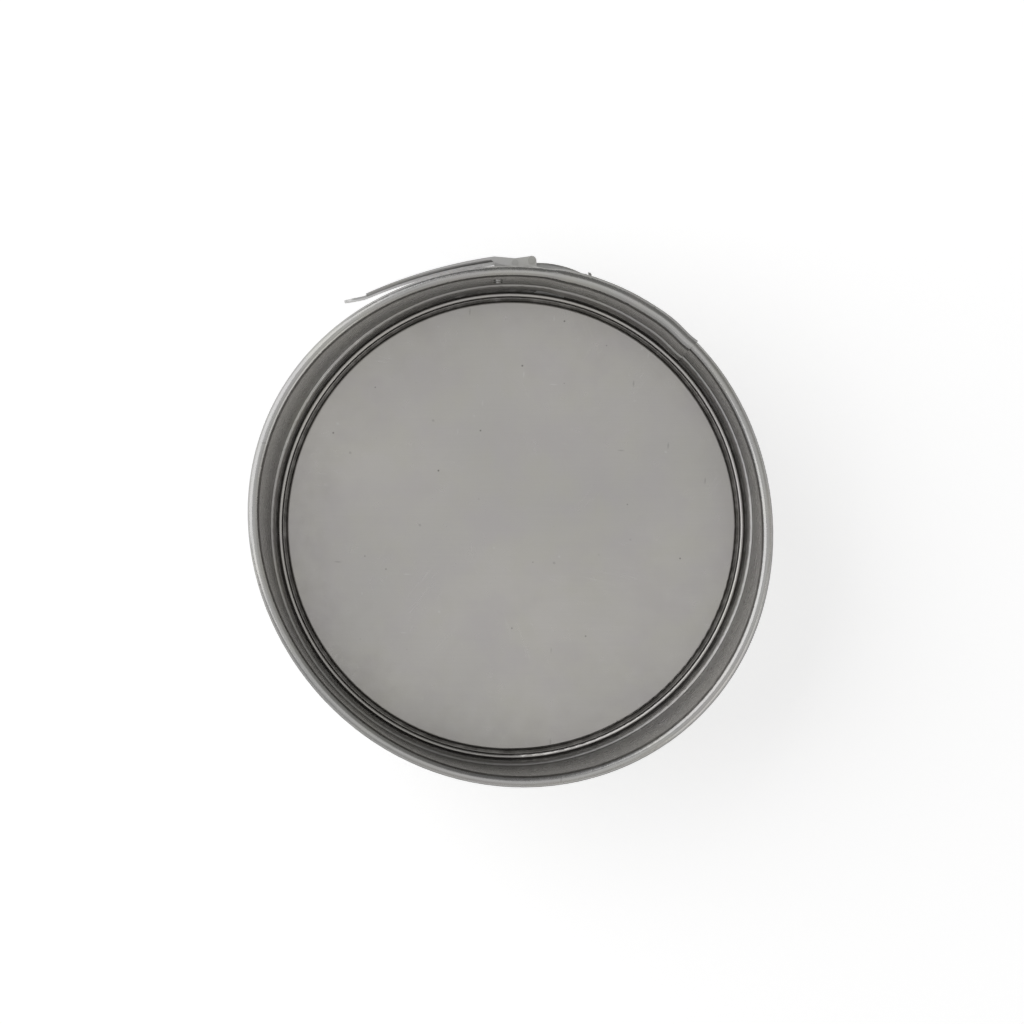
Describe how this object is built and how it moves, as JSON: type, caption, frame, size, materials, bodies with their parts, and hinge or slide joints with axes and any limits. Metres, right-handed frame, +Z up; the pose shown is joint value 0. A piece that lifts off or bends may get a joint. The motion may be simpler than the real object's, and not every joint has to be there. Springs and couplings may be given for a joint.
{
  "type": "springform cake tin",
  "caption": "Round springform cake tin: overlapping steel hoop with rolled rim, over-centre side latch and loose base plate.",
  "frame": {"origin": "the point on the tin's axis at the level of the hoop's foot, which stands on the table", "axes": "+Z up, out of the open top; +Y towards the latch side; +X to the right of the picture, which looks down"},
  "size_m": [0.2086, 0.2128, 0.0686],
  "materials": {
    "hoop_steel": "rolled sheet steel with a grey tinned finish, satin",
    "base_steel": "rolled sheet steel with a grey tinned finish, fine grain",
    "latch_steel": "stamped sheet steel, satin",
    "rivet_steel": "bright steel"
  },
  "bodies": {
    "tin": {"hoop": "hoop_steel", "lever_bracket": "latch_steel", "bracket_rivets": "rivet_steel", "pivot_rivets": "rivet_steel", "catch_plate": "latch_steel"},
    "lever": {"lever": "latch_steel", "link_pin": "rivet_steel"},
    "link": {"link": "latch_steel"},
    "base": {"base_plate": "base_steel"}
  },
  "joints": [
    {"name": "lever_swing", "type": "hinge", "parent": "tin", "child": "lever", "pos_m": [0.00799, 0.10631, 0.034], "axis": [0, 0, -1], "range_deg": [0, 150]},
    {"name": "link_swing", "type": "hinge", "parent": "lever", "child": "link", "pos_m": [0.00131, 0.10541, 0.034], "axis": [0, 0, 1], "range_deg": [0, 132]},
    {"name": "base_lift", "type": "slide", "parent": "tin", "child": "base", "axis": [0, 0, 1], "range_m": [0, 0.09]}
  ],
  "couplings": [
    {"joint": "link_swing", "follows": "lever_swing", "ratio": 0.88}
  ]
}
